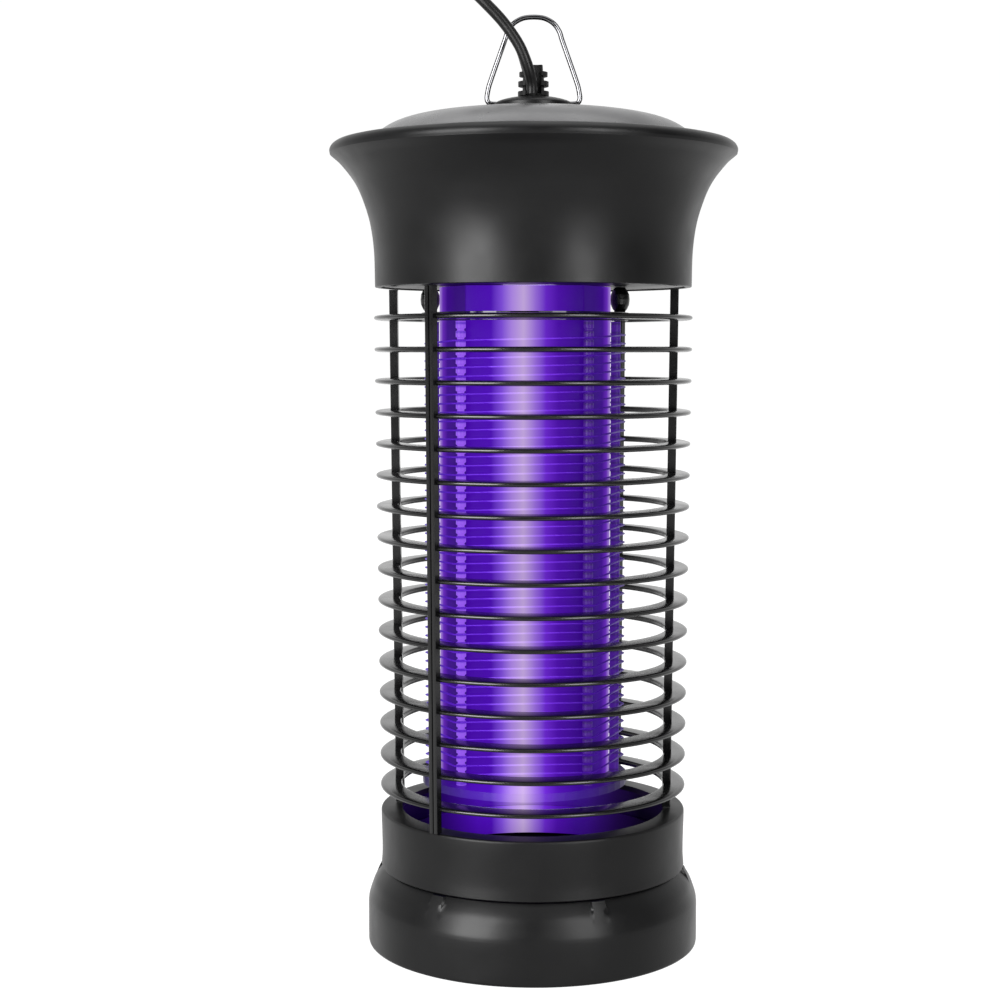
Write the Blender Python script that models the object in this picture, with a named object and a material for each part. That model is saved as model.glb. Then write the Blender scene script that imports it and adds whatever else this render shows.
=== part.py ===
"""Electric bug zapper: flared cap with a wire bail, ring guard, lamp and grid, twist-off insect tray.

Metres, +Z up, front towards -Y, base standing on z = 0 with the guard's axis on x = y = 0.
"""

from math import asin, ceil, cos, degrees, pi, radians, sin

import bmesh
import bpy
from mathutils import Vector
from mathutils.geometry import interpolate_bezier

MM = 0.001
GAP = 0.3 * MM

# Driving sizes
COLLAR_TOP = 50.4 * MM
COLLAR_BOTTOM = 28.9 * MM
COLLAR_R = 56.7 * MM
CAP_BOTTOM = 243.7 * MM
CAP_BOTTOM_R = 58.2 * MM
RIM_TOP = 296.4 * MM
LID_HOLE_R = 14.9 * MM
LID_WALL = 2.0 * MM
BOSS_R = 14.6 * MM
BOSS_TOP = 313.0 * MM
PIVOT_Z = 310.6 * MM
WIRE_R = 0.9 * MM

RING_COUNT = 16
RING_LOW_Z = 59.2 * MM
RING_HIGH_Z = 232.6 * MM
RING_LOW_R = 56.9 * MM
RING_HIGH_R = 58.6 * MM
RING_WIDTH = 8.0 * MM
RING_THICK = 2.1 * MM

SEAM_ANGLES = (-37, 144.5)
SLIM_ANGLES = (-94, 86)
SEAM_WIDTH = 3.6 * MM
SLIM_WIDTH = 2.6 * MM
POST_TOP = CAP_BOTTOM - 2 * GAP

GRID_X = -3.0 * MM
GRID_ANGLES = (-137, -90, -43, 43, 90, 137)
GRID_POST_R = 33.5 * MM
GRID_WIRE_R = 36.9 * MM
SHADE_R = 30.9 * MM
SHADE_WALL = 1.2 * MM
GRID_LOW = 63.3 * MM
GRID_HIGH = 231.2 * MM
GRID_RING_THICK = 3.0 * MM
GRID_PITCH = 6.4 * MM
GRID_WIRE = 0.4 * MM

LAMP_X = -1.5 * MM
LAMP_LEG = (3.0 * MM, 7.0 * MM)
LAMP_TUBE_R = 6.5 * MM
LAMP_LOW = 80.0 * MM
FLOOR_LOW = CAP_BOTTOM + 0.5 * MM
FLOOR_THICK = 2.0 * MM

TRAY_R = 61.6 * MM
TRAY_SHOULDER = 28.2 * MM
TAB_ANGLES = tuple(24 + 60 * k for k in range(6))
TAB_HALF = 2.7
LUG_ANGLES = (0, 120, 240)
LUG_HALF = 4.0
TAB_RAMP = 0.9
LUG_RAMP = 1.5

CORD_R = 2.05 * MM
COIL_CENTRE = (-5.5 * MM, 118.0 * MM)
COIL_R = (14.3 * MM, 31.7 * MM)
COIL_HIGH = 8.6 * MM
PLUG_START = (11.9 * MM, 147.45 * MM, 6.5 * MM)

BLACK = (0.022, 0.022, 0.024)


def clear_scene():
    for old in list(bpy.data.objects):
        bpy.data.objects.remove(old, do_unlink=True)


def material(name, colour, roughness, metallic=0.0):
    made = bpy.data.materials.new(name)
    made.use_nodes = True
    shader = made.node_tree.nodes["Principled BSDF"]
    shader.inputs["Base Color"].default_value = (*colour, 1.0)
    shader.inputs["Roughness"].default_value = roughness
    shader.inputs["Metallic"].default_value = metallic
    return made


def add(name, shape, colour, roughness, metallic=0.0, location=(0, 0, 0), smooth=35):
    """Makes an object of a bmesh whose points are about its own origin."""
    bmesh.ops.recalc_face_normals(shape, faces=shape.faces)
    mesh = bpy.data.meshes.new(name)
    shape.to_mesh(mesh)
    shape.free()
    made = bpy.data.objects.new(name, mesh)
    bpy.context.scene.collection.objects.link(made)
    mesh.materials.append(material(name, colour, roughness, metallic))
    if smooth:
        mesh.shade_smooth()
        mesh.set_sharp_from_angle(angle=radians(smooth))
    made.location = location
    return made


def polar(radius, degrees_from_front):
    """A point at an angle from the front (-Y), positive towards +X."""
    a = radians(degrees_from_front)
    return radius * sin(a), -radius * cos(a)


def even_angles(count):
    return [360 * k / count for k in range(count)]


def turned(profile, angles, centre=(0, 0)):
    """A solid of revolution. profile(angle) gives its section's points (r, z), closed on itself,
    or running from the axis to the axis where its ends have r = 0."""
    shape = bmesh.new()
    columns = []
    first = profile(angles[0])
    open_ended = first[0][0] == 0
    poles = {}
    if open_ended:
        for i in (0, len(first) - 1):
            poles[i] = shape.verts.new((*centre, first[i][1]))
    for angle in angles:
        column = []
        for i, (r, z) in enumerate(profile(angle)):
            if i in poles:
                column.append(poles[i])
                continue
            x, y = polar(r, angle)
            column.append(shape.verts.new((centre[0] + x, centre[1] + y, z)))
        columns.append(column)
    steps = len(first) - 1 if open_ended else len(first)
    for k, column in enumerate(columns):
        following = columns[(k + 1) % len(columns)]
        for i in range(steps):
            j = (i + 1) % len(first)
            corners = [column[i], column[j], following[j], following[i]]
            shape.faces.new(list(dict.fromkeys(corners)))
    return shape


def round_solid(name, profile, segments, look, centre=(0, 0), origin=(0, 0, 0), smooth=35):
    shape = turned(lambda angle: profile, even_angles(segments), centre)
    bmesh.ops.translate(shape, verts=shape.verts, vec=-Vector(origin))
    return add(name, shape, *look, location=origin, smooth=smooth)


def prism(outline, low, high, holes=()):
    """An upright prism of an outline, with one optional hole of as many points."""
    shape = bmesh.new()
    loops = [outline, *holes]
    rims = []
    for points in loops:
        rims.append([[shape.verts.new((x, y, z)) for x, y in points] for z in (low, high)])
    for bottom, top in rims:
        for i in range(len(bottom)):
            j = (i + 1) % len(bottom)
            shape.faces.new([bottom[i], bottom[j], top[j], top[i]])
    for level in (0, 1):
        if holes:
            outer, inner = rims[0][level], rims[1][level]
            for i in range(len(outer)):
                j = (i + 1) % len(outer)
                shape.faces.new([outer[i], outer[j], inner[j], inner[i]])
        else:
            shape.faces.new(rims[0][level])
    return shape


def block(size, centre, bevel=0.0):
    shape = bmesh.new()
    bmesh.ops.create_cube(shape, size=1.0)
    bmesh.ops.scale(shape, vec=size, verts=shape.verts)
    if bevel:
        bmesh.ops.bevel(
            shape, geom=shape.edges[:], offset=bevel, segments=2, profile=0.5, affect="EDGES"
        )
    bmesh.ops.translate(shape, vec=centre, verts=shape.verts)
    return shape


def disc_points(radius, count, centre=(0, 0)):
    points = [polar(radius, a) for a in even_angles(count)]
    return [(centre[0] + x, centre[1] + y) for x, y in points]


def smooth_route(points, step):
    """Points a step apart along a smooth curve through the given ones."""
    route = [Vector(p) for p in points]
    dense = []
    for i in range(len(route) - 1):
        before = route[max(i - 1, 0)]
        after = route[min(i + 2, len(route) - 1)]
        a, b = route[i], route[i + 1]
        reach = (b - a).length / 3
        lead = (b - before).normalized() * reach
        tail = (after - a).normalized() * reach
        dense += list(interpolate_bezier(a, a + lead, b - tail, b, 24))[:-1]
    dense.append(route[-1])
    length = sum((q - p).length for p, q in zip(dense, dense[1:]))
    count = ceil(length / step)
    spaced = [dense[0]]
    walked = 0.0
    for p, q in zip(dense, dense[1:]):
        stretch = (q - p).length
        while len(spaced) < count and walked + stretch >= length * len(spaced) / count:
            share = (length * len(spaced) / count - walked) / stretch
            spaced.append(p.lerp(q, share))
        walked += stretch
    spaced.append(dense[-1])
    return spaced


def tube(name, points, radius, resolution, look, origin=(0, 0, 0)):
    curve = bpy.data.curves.new(name, "CURVE")
    curve.dimensions = "3D"
    curve.render_resolution_u = 0
    curve.bevel_depth = radius
    curve.bevel_resolution = resolution
    curve.use_fill_caps = True
    spline = curve.splines.new("POLY")
    spline.points.add(len(points) - 1)
    for slot, point in zip(spline.points, points):
        slot.co = (*(Vector(point) - Vector(origin)), 1.0)
    made = bpy.data.objects.new(name, curve)
    bpy.context.scene.collection.objects.link(made)
    curve.materials.append(material(name, *look))
    made.location = origin
    return made


def cutter(name, shape):
    made = add(name, shape, (0.5, 0.5, 0.5), 0.5, smooth=0)
    made.hide_render = True
    made.display_type = "WIRE"
    return made


def cut(target, tool):
    change = target.modifiers.new("cut", "BOOLEAN")
    change.operation = "DIFFERENCE"
    change.solver = "EXACT"
    change.object = tool


# The cap


def cap_shell():
    outer = [
        (CAP_BOTTOM_R, CAP_BOTTOM + 0.5 * MM),
        (58.5 * MM, 256.5 * MM),
        (59.6 * MM, 265.5 * MM),
        (61.5 * MM, 272.7 * MM),
        (63.1 * MM, 277.0 * MM),
        (65.1 * MM, 281.3 * MM),
        (67.6 * MM, 285.3 * MM),
        (70.6 * MM, 288.6 * MM),
        (73.4 * MM, 290.8 * MM),
    ]
    bead = [(r * MM, z * MM) for r, z in ((74.5, 292.2), (74.6, 293.4), (73.9, 294.9), (72.4, 296.0))]
    seat = [
        (71.0 * MM, RIM_TOP),
        (61.3 * MM, 295.3 * MM),
        (61.1 * MM, 293.7 * MM),
        (58.6 * MM, 293.7 * MM),
        (58.6 * MM, 291.9 * MM),
        (66.5 * MM, 291.7 * MM),
        (67.6 * MM, 289.6 * MM),
        (62.8 * MM, 282.2 * MM),
        (58.6 * MM, 271.6 * MM),
        (56.3 * MM, 258.2 * MM),
        (56.0 * MM, CAP_BOTTOM),
        (CAP_BOTTOM_R - 0.5 * MM, CAP_BOTTOM),
    ]
    return round_solid("cap_shell", outer + bead + seat, 56, (BLACK, 0.42))


def lid_height(r):
    """Height of the lid's upper face at a radius: a flat dome that turns down steeply at its edge."""
    share = r / (62.0 * MM)
    return 308.5 * MM - 6.0 * MM * share**2 - 9.0 * MM * share**10


def cap_lid():
    radii = [r * MM for r in (26, 37, 45, 51, 55.5, 58.5, 60.4)]
    top = [(r, lid_height(r)) for r in [LID_HOLE_R, *radii]]
    edge = [(60.8 * MM, 295.4 * MM), (60.8 * MM, 294.0 * MM), (58.6 * MM, 294.0 * MM)]
    under = [(r, lid_height(r) - LID_WALL) for r in (56 * MM, 45 * MM, 26 * MM, LID_HOLE_R)]
    return round_solid("cap_lid", top + edge + under, 44, ((0.05, 0.05, 0.052), 0.38))


def hanger_boss(bores):
    profile = [
        (4.7 * MM, 303.2 * MM),
        (18.0 * MM, 303.2 * MM),
        (18.0 * MM, 305.6 * MM),
        (BOSS_R, 306.0 * MM),
        (BOSS_R, 311.2 * MM),
        (14.2 * MM, 311.9 * MM),
        (12.6 * MM, 312.4 * MM),
        (9.0 * MM, 312.8 * MM),
        (4.7 * MM, BOSS_TOP),
    ]
    boss = round_solid("hanger_boss", profile, 36, (BLACK, 0.4))
    cut(boss, bores)
    return boss


def boss_bores():
    """The two blind side bores that the bail's feet turn in, joined by nothing."""
    shape = bmesh.new()
    for side in (-1, 1):
        ends = []
        for x in (9.3 * MM, 20 * MM):
            circle = []
            for k in range(24):
                a = 2 * pi * k / 24
                place = (side * x, (WIRE_R + 0.1 * MM) * cos(a), PIVOT_Z + (WIRE_R + 0.1 * MM) * sin(a))
                circle.append(shape.verts.new(place))
            ends.append(circle)
            shape.faces.new(circle)
        for k in range(24):
            n = (k + 1) % 24
            shape.faces.new([ends[0][k], ends[0][n], ends[1][n], ends[1][k]])
    return cutter("cut_boss", shape)


def strain_relief():
    """A ribbed sleeve with an open slot at the front, where the lead lies."""
    levels = [
        (306.4, 4.3),
        (313.2, 4.3),
        (313.4, 5.7),
        (315.0, 5.7),
        (315.3, 4.0),
        (316.6, 4.0),
        (316.9, 5.6),
        (318.6, 5.6),
        (318.9, 3.9),
        (320.2, 3.9),
        (320.5, 5.2),
        (322.0, 5.2),
        (322.4, 3.5),
        (324.6, 3.4),
    ]
    half = 2.9 * MM
    floor = -1.3 * MM
    corner = -1.6 * MM
    arc_steps = 22
    shape = bmesh.new()
    loops = []
    for z, r in levels:
        r *= MM
        z *= MM
        edge = degrees(asin(half / r))
        outline = [polar(r, edge + (360 - 2 * edge) * k / arc_steps) for k in range(arc_steps + 1)]
        outline += [(-0.97 * half, corner), (-0.5 * half, floor)]
        outline += [(0.5 * half, floor), (0.97 * half, corner)]
        loops.append([shape.verts.new((x, y, z)) for x, y in outline])
    for low, high in zip(loops, loops[1:]):
        for i in range(len(low)):
            j = (i + 1) % len(low)
            shape.faces.new([low[i], low[j], high[j], high[i]])
    shape.faces.new(loops[0])
    shape.faces.new(loops[-1])
    return add("strain_relief", shape, BLACK, 0.55)


def hanger_bail():
    half_path = [
        (-9.8, 0.0),
        (-15.1, 0.0),
        (-16.4, 0.5),
        (-17.0, 1.8),
        (-16.8, 3.9),
        (-16.1, 7.0),
        (-10.3, 23.4),
        (-9.5, 25.9),
        (-7.5, 28.8),
        (-4.6, 30.6),
        (-1.9, 31.2),
    ]
    path = half_path + [(-x, z) for x, z in reversed(half_path)]
    points = [(x * MM, 0.0, PIVOT_Z + z * MM) for x, z in path]
    look = ((0.75, 0.75, 0.77), 0.15, 1.0)
    return tube("hanger_bail", points, WIRE_R, 3, look, origin=(0, 0, PIVOT_Z))


def cap_insides():
    high = FLOOR_LOW + FLOOR_THICK
    hole = 15.2 * MM
    outer = disc_points(55.5 * MM, 56)
    inner = disc_points(hole, 56, centre=(LAMP_X, 0))
    add("cap_floor", prism(outer, FLOOR_LOW, high, [inner]), BLACK, 0.5)
    board_y = 32.5 * MM
    board_high = high + GAP + 1.6 * MM
    board = block((56 * MM, 28 * MM, 1.6 * MM), (0, board_y, board_high - 0.8 * MM))
    add("circuit_board", board, (0.02, 0.16, 0.06), 0.5, smooth=0)
    core = block((24 * MM, 19 * MM, 20 * MM), (-13 * MM, board_y, board_high + GAP + 10 * MM), 1.2 * MM)
    add("transformer", core, (0.45, 0.32, 0.08), 0.5)
    base = board_high + GAP
    can = [(0, base), (5.6 * MM, base), (6 * MM, base + 0.6 * MM), (6 * MM, base + 19.4 * MM)]
    can += [(5.6 * MM, base + 20 * MM), (0, base + 20 * MM)]
    round_solid("capacitor", can, 24, ((0.03, 0.05, 0.2), 0.35), centre=(13 * MM, board_y))


def lamp_holder():
    low = FLOOR_LOW + FLOOR_THICK + GAP
    roof = 263.2 * MM
    profile = [
        (0, roof),
        (15.0 * MM, roof),
        (15.0 * MM, low),
        (18.0 * MM, low),
        (18.0 * MM, 272 * MM),
        (16.0 * MM, 276 * MM),
        (0, 276 * MM),
    ]
    holder = round_solid("lamp_holder", profile, 40, ((0.8, 0.8, 0.76), 0.5), centre=(LAMP_X, 0))
    shape = bmesh.new()
    for side in (-1, 1):
        hole = turned(
            lambda angle: [(0, roof - MM), (1.5 * MM, roof - MM), (1.5 * MM, 271 * MM), (0, 271 * MM)],
            even_angles(20),
            centre=(LAMP_X + side * 4.5 * MM, 0),
        )
        spare = bpy.data.meshes.new("spare")
        hole.to_mesh(spare)
        hole.free()
        shape.from_mesh(spare)
        bpy.data.meshes.remove(spare)
    cut(holder, cutter("cut_holder", shape))
    return holder


# The lamp


def lamp():
    top = FLOOR_LOW + FLOOR_THICK - 0.1 * MM
    leg = Vector((LAMP_LEG[0], LAMP_LEG[1], 0))
    reach = leg.length
    across = leg.normalized()
    centre = Vector((LAMP_X, 0, 0))
    points = [centre - leg + Vector((0, 0, top))]
    bend = LAMP_LOW + reach
    for k in range(13):
        a = pi * k / 12
        points.append(centre - across * reach * cos(a) + Vector((0, 0, bend - reach * sin(a))))
    points.append(centre + leg + Vector((0, 0, top)))
    look = ((0.8, 0.72, 0.95), 0.1)
    tube("lamp_tube", points, LAMP_TUBE_R, 4, look, origin=(LAMP_X, 0, top))
    low = top + GAP
    high = 262.7 * MM
    profile = [(0, low), (13.9 * MM, low), (14.5 * MM, low + 0.6 * MM), (14.5 * MM, high - 0.6 * MM)]
    profile += [(13.9 * MM, high), (0, high)]
    look = ((0.85, 0.85, 0.83), 0.4)
    round_solid("lamp_base", profile, 36, look, centre=(LAMP_X, 0), origin=(0, 0, low))
    for name, side in (("lamp_pin_left", -1), ("lamp_pin_right", 1)):
        pin_low = high + GAP
        pin = [(0, pin_low), (1.2 * MM, pin_low), (1.2 * MM, pin_low + 6 * MM)]
        pin += [(0.7 * MM, pin_low + 6.6 * MM), (0, pin_low + 6.6 * MM)]
        look = ((0.7, 0.6, 0.35), 0.25, 1.0)
        round_solid(name, pin, 14, look, centre=(LAMP_X + side * 4.5 * MM, 0))


# The grid


def grid_corner(radius, angle):
    x, y = polar(radius, angle)
    return GRID_X + x, y


def grid():
    hub = (GRID_X, 0)
    for name, low, hole in (
        ("grid_bottom_ring", GRID_LOW - GAP - GRID_RING_THICK, 24 * MM),
        ("grid_top_ring", GRID_HIGH + GAP, 31.9 * MM),
    ):
        outer = disc_points(38.2 * MM, 48, hub)
        inner = disc_points(hole, 48, hub)
        plate = prism(outer, low, low + GRID_RING_THICK, [inner])
        add(name, plate, BLACK, 0.5)
    for n, angle in enumerate(GRID_ANGLES, 1):
        r = 1.8 * MM
        profile = [(0, GRID_LOW), (r, GRID_LOW), (r, GRID_HIGH), (0, GRID_HIGH)]
        look = ((0.35, 0.25, 0.7), 0.4)
        round_solid(f"grid_post_{n}", profile, 12, look, centre=grid_corner(GRID_POST_R, angle))
    for name, angle in (("grid_standoff_left", -90), ("grid_standoff_right", 90)):
        low = GRID_HIGH + GRID_RING_THICK + 2 * GAP
        high = FLOOR_LOW - GAP
        middle = (low + high) / 2
        swell = [(1.8, -4.5), (2.7, -3.4), (3.4, -1.8), (3.6, 0), (3.4, 1.8), (2.7, 3.4), (1.8, 4.5)]
        profile = [(0, middle - 4.5 * MM), *((r * MM, middle + z * MM) for r, z in swell)]
        profile += [(0, middle + 4.5 * MM)]
        round_solid(name, profile, 20, (BLACK, 0.3), centre=grid_corner(35 * MM, angle))
    turns = (GRID_HIGH - GRID_LOW - 6 * MM) / GRID_PITCH
    for name, offset in (("grid_wire_live", 0.0), ("grid_wire_neutral", GRID_PITCH / 2)):
        points = []
        for k in range(int(turns * 6)):
            x, y = grid_corner(GRID_WIRE_R, GRID_ANGLES[k % 6])
            z = GRID_LOW + 2 * MM + offset + GRID_PITCH * k / 6
            points.append((x, y, z))
        tube(name, points, GRID_WIRE, 0, ((0.75, 0.7, 0.9), 0.3, 1.0))


def lamp_shade():
    low = GRID_LOW
    high = FLOOR_LOW - GAP
    outer = [grid_corner(SHADE_R, a) for a in GRID_ANGLES]
    inner = [grid_corner(SHADE_R - SHADE_WALL / cos(radians(43)), a) for a in GRID_ANGLES]
    add("lamp_shade", prism(outer, low, high, [inner]), (0.1, 0.0, 0.5), 0.3, smooth=0)


# The guard


def ring_height(n):
    return RING_HIGH_Z + (RING_LOW_Z - RING_HIGH_Z) * (n - 1) / (RING_COUNT - 1)


def ring_radius(z):
    share = (z - RING_LOW_Z) / (RING_HIGH_Z - RING_LOW_Z)
    return RING_LOW_R + (RING_HIGH_R - RING_LOW_R) * share


def leaning_bar(angle, width, inside, outside, low, high):
    """A bar whose faces stay at set distances from the guard's tapered outside."""
    shape = bmesh.new()
    out = Vector((*polar(1, angle), 0))
    side = Vector((*polar(1, angle + 90), 0))
    ends = []
    for z in (low, high):
        r = ring_radius(z)
        corners = []
        for reach, across in ((inside, -1), (outside, -1), (outside, 1), (inside, 1)):
            place = out * (r + reach) + side * (width / 2 * across) + Vector((0, 0, z))
            corners.append(shape.verts.new(place))
        ends.append(corners)
        shape.faces.new(corners)
    for i in range(4):
        j = (i + 1) % 4
        shape.faces.new([ends[0][i], ends[0][j], ends[1][j], ends[1][i]])
    return shape


def post_places():
    """Name, angle, width and the faces' distances from the rings' outside of each post."""
    places = []
    for name, angle in zip(("guard_seam_front", "guard_seam_rear"), SEAM_ANGLES):
        places.append((name, angle, SEAM_WIDTH, -1.2 * MM, 1.6 * MM))
    for name, angle in zip(("guard_post_left", "guard_post_right"), SLIM_ANGLES):
        places.append((name, angle, SLIM_WIDTH, -8.3 * MM, -5.2 * MM))
    return places


def guard():
    low = COLLAR_TOP + GAP
    notches = bmesh.new()
    for name, angle, width, inside, outside in post_places():
        bar = leaning_bar(angle, width, inside, outside, low, POST_TOP)
        add(name, bar, BLACK, 0.3, smooth=0)
        if outside > 0:
            faces = (inside - GAP, outside + 4 * MM)
        else:
            faces = (inside - 4 * MM, outside + GAP)
        space = leaning_bar(angle, width + 2 * GAP, *faces, low, POST_TOP)
        spare = bpy.data.meshes.new("spare")
        bmesh.ops.recalc_face_normals(space, faces=space.faces)
        space.to_mesh(spare)
        space.free()
        notches.from_mesh(spare)
        bpy.data.meshes.remove(spare)
    tool = cutter("cut_guard", notches)
    for n in range(1, RING_COUNT + 1):
        z = ring_height(n)
        r = ring_radius(z)
        t = RING_THICK / 2
        profile = [(r - RING_WIDTH, z - t), (r, z - t), (r, z + t), (r - RING_WIDTH, z + t)]
        ring = round_solid(f"guard_ring_{n:02d}", profile, 32, (BLACK, 0.25))
        cut(ring, tool)


# The base


def near(angle, places, half):
    """True where an angle is within half a width of one of the places."""
    return any(abs((angle - p + 180) % 360 - 180) <= half + 1e-6 for p in places)


def column_angles(places, half, between):
    """Angles round a turned piece with steps at each place's two sides."""
    angles = []
    ordered = sorted(p % 360 for p in places)
    for k, place in enumerate(ordered):
        following = ordered[(k + 1) % len(ordered)] + (360 if k == len(ordered) - 1 else 0)
        angles += [place - half, place + half]
        low = place + half + 0.6
        high = following - half - 0.6
        angles += [low + (high - low) * i / between for i in range(between + 1)]
    return angles


def base_collar():
    def profile(angle):
        ledge = 54.3 * MM if near(angle, LUG_ANGLES, LUG_HALF + LUG_RAMP) else 51.9 * MM
        return [
            (48.9 * MM, COLLAR_TOP),
            (COLLAR_R - 0.5 * MM, COLLAR_TOP),
            (COLLAR_R, COLLAR_TOP - 0.6 * MM),
            (56.5 * MM, 42.0 * MM),
            (56.4 * MM, 34.0 * MM),
            (56.7 * MM, COLLAR_BOTTOM),
            (54.4 * MM, COLLAR_BOTTOM),
            (54.4 * MM, 30.3 * MM),
            (ledge, 30.4 * MM),
            (ledge, 32.3 * MM),
            (54.4 * MM, 32.4 * MM),
            (54.4 * MM, COLLAR_TOP - 2.2 * MM),
            (48.9 * MM, COLLAR_TOP - 2.2 * MM),
        ]

    angles = column_angles(LUG_ANGLES, LUG_HALF + LUG_RAMP, 15)
    return add("base_collar", turned(profile, angles), BLACK, 0.45)


def tray_gasket():
    low = TRAY_SHOULDER + GAP
    profile = [(51.6 * MM, low), (54.1 * MM, low), (53.8 * MM, low + 1.2 * MM), (51.9 * MM, low + 1.2 * MM)]
    return round_solid("tray_gasket", profile, 40, ((0.03, 0.03, 0.03), 0.8))


def rise(angle, places, half, ramp):
    """1 on each of the places, falling to 0 over a ramp at its two sides."""
    away = min(abs((angle - p + 180) % 360 - 180) for p in places)
    return max(0.0, min(1.0, 1 - (away - half) / ramp))


def insect_tray():
    def profile(angle):
        tab = rise(angle, TAB_ANGLES, TAB_HALF, TAB_RAMP)
        lug = (51.2 + 2.3 * rise(angle, LUG_ANGLES, LUG_HALF, LUG_RAMP)) * MM
        return [
            (0, 1.5 * MM),
            (56.5 * MM, 1.5 * MM),
            (57.3 * MM, 0),
            (60.6 * MM, 0),
            (TRAY_R, 1.2 * MM),
            (TRAY_R, 15.6 * MM),
            (61.3 * MM, 17.4 * MM),
            (60.4 * MM, 20.2 * MM),
            (59.2 * MM, 23.2 * MM),
            ((57.5 + 0.4 * tab) * MM, 26.2 * MM),
            ((55.6 + 1.4 * tab) * MM, TRAY_SHOULDER),
            (51.2 * MM, TRAY_SHOULDER),
            (51.2 * MM, 33.0 * MM),
            (lug, 33.2 * MM),
            (lug, 35.2 * MM),
            (51.2 * MM, 35.4 * MM),
            (51.0 * MM, 38.2 * MM),
            (49.2 * MM, 38.2 * MM),
            (49.2 * MM, 27.4 * MM),
            (55.6 * MM, 24.6 * MM),
            (59.0 * MM, 16.0 * MM),
            (59.0 * MM, 6.0 * MM),
            (56.0 * MM, 3.3 * MM),
            (0, 3.3 * MM),
        ]

    edges = set()
    for places, half, ramp in ((TAB_ANGLES, TAB_HALF, TAB_RAMP), (LUG_ANGLES, LUG_HALF, LUG_RAMP)):
        for place in places:
            for reach in (half, half + ramp):
                edges.update(((place - reach) % 360, (place + reach) % 360))
    plain = [a for a in even_angles(72) if not near(a, edges, 1.5)]
    return add("insect_tray", turned(profile, sorted([*edges, *plain])), BLACK, 0.45)


# The lead


def power_cord():
    route = [
        (-0.5, -4.7, 313.9),
        (-0.6, -5.2, 317.2),
        (-1.5, -7.1, 321.4),
        (-2.9, -8.1, 325.4),
        (-5.0, -8.5, 330.2),
        (-8.2, -8.6, 335.2),
        (-12.2, -8.5, 340.3),
        (-18.6, -8.2, 346.9),
        (-26.0, -6.5, 354.5),
        (-32.0, -0.5, 362.0),
        (-35.0, 9.0, 365.0),
        (-32.5, 19.0, 362.0),
        (-26.5, 25.5, 356.5),
        (-19.5, 28.5, 351.5),
        (-12.3, 31.0, 346.6),
        (-8.2, 34.0, 341.6),
        (-5.1, 38.0, 336.9),
        (-3.2, 43.0, 331.8),
        (-1.7, 49.0, 326.4),
        (-0.9, 55.0, 321.6),
        (-0.6, 62.5, 315.8),
        (-0.8, 69.5, 309.0),
        (-1.3, 75.2, 301.5),
        (-2.0, 79.2, 293.0),
        (-3.0, 81.2, 283.0),
        (-5.0, 82.0, 268.0),
        (-14.0, 82.0, 200.0),
        (-25.0, 82.0, 125.0),
        (-32.5, 82.0, 60.0),
        (-34.8, 82.6, 35.0),
        (-35.6, 84.6, 20.0),
        (-35.8, 89.6, 9.0),
        (-35.7, 95.5, 3.6),
        (-35.5, 101.2, 2.2),
    ]
    points = smooth_route([(x * MM, y * MM, z * MM) for x, y, z in route], 9.5 * MM)
    return tube("power_cord", points, CORD_R, 3, ((0.02, 0.02, 0.02), 0.5))


def cord_coil():
    r_in, r_out = COIL_R
    soft = 1.0 * MM
    profile = [
        (r_in, soft),
        (r_in + soft, 0),
        (r_out - soft, 0),
        (r_out, soft),
        (r_out, COIL_HIGH - soft),
        (r_out - soft, COIL_HIGH),
        (r_in + soft, COIL_HIGH),
        (r_in, COIL_HIGH - soft),
    ]
    return round_solid("cord_coil", profile, 28, ((0.02, 0.02, 0.02), 0.5), centre=COIL_CENTRE)


def plug():
    """A two-blade plug lying on its side, its sleeve towards the coil."""
    x, y, z = PLUG_START
    sections = [(0, 2.5, 2.5), (7.6, 3.6, 3.4), (8.0, 6.6, 5.4), (10.0, 7.8, 6.4), (25.0, 8.0, 6.5), (30.0, 7.6, 6.2)]
    sides = 20
    shape = bmesh.new()
    loops = []
    for along, wide, high in sections:
        loop = []
        for k in range(sides):
            a = 2 * pi * k / sides
            c, s = cos(a), sin(a)
            power = 0.6 if along > 7.9 else 1.0
            across = wide * MM * abs(c) ** power * (1 if c > 0 else -1)
            up = high * MM * abs(s) ** power * (1 if s > 0 else -1)
            loop.append(shape.verts.new((x + along * MM, y + across, z + up)))
        loops.append(loop)
    for low, high in zip(loops, loops[1:]):
        for i in range(sides):
            j = (i + 1) % sides
            shape.faces.new([low[i], low[j], high[j], high[i]])
    shape.faces.new(loops[0])
    shape.faces.new(loops[-1])
    add("plug_body", shape, (0.02, 0.02, 0.02), 0.45)
    for name, side in (("plug_blade_left", -1), ("plug_blade_right", 1)):
        centre = (x + 30 * MM + GAP + 8 * MM, y + side * 4.2 * MM, z)
        blade = block((16 * MM, 1.5 * MM, 6.3 * MM), centre, 0.3 * MM)
        add(name, blade, (0.78, 0.66, 0.38), 0.25, 1.0)


def build():
    clear_scene()
    cap_shell()
    cap_lid()
    hanger_boss(boss_bores())
    strain_relief()
    hanger_bail()
    cap_insides()
    lamp_holder()
    lamp()
    grid()
    lamp_shade()
    guard()
    base_collar()
    tray_gasket()
    insect_tray()
    power_cord()
    cord_coil()
    plug()


build()
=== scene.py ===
"""Looks of the electric bug zapper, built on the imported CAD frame. Metres, +Z up, front towards -Y."""

from math import cos, pi, radians, sin

import bmesh
import bpy
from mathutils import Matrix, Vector
from mathutils.geometry import interpolate_bezier


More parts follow.
